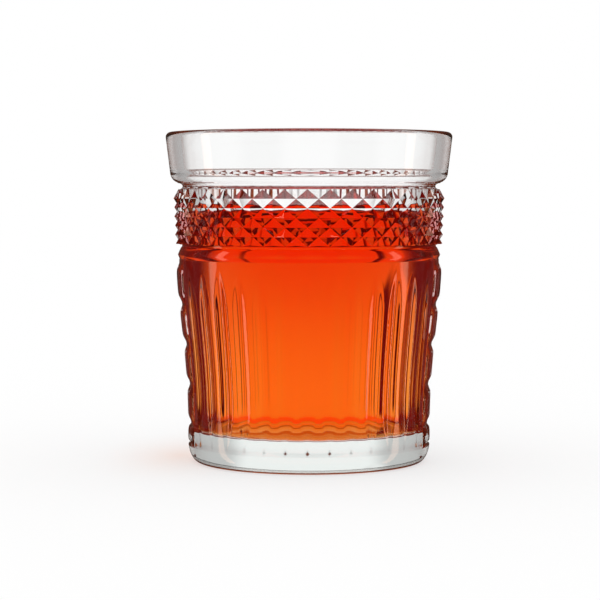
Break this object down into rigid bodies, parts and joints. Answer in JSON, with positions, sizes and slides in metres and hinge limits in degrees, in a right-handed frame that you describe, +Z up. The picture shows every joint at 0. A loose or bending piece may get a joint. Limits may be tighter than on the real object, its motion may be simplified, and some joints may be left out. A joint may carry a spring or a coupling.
{
  "type": "rocks glass",
  "caption": "Pressed rocks glass with a plain rim band, a ring of diamonds, pointed upright flutes and bead panels over the mould seams, holding an orange drink.",
  "frame": {"origin": "middle of the resting ring, on the surface that the glass stands on", "axes": "+Z up along the glass's axis of symmetry; the mould seams and their bead panels face +X and -X; the fluted faces look along -Y and +Y"},
  "size_m": [0.087, 0.087, 0.1],
  "materials": {
    "glass": "fire-polished pressed soda-lime glass, clear with a faint green-grey cast",
    "drink": "clear orange liquid, deep red where it is seen through the diamonds"
  },
  "bodies": {
    "root": {"tumbler": "glass", "drink": "drink"}
  },
  "joints": []
}
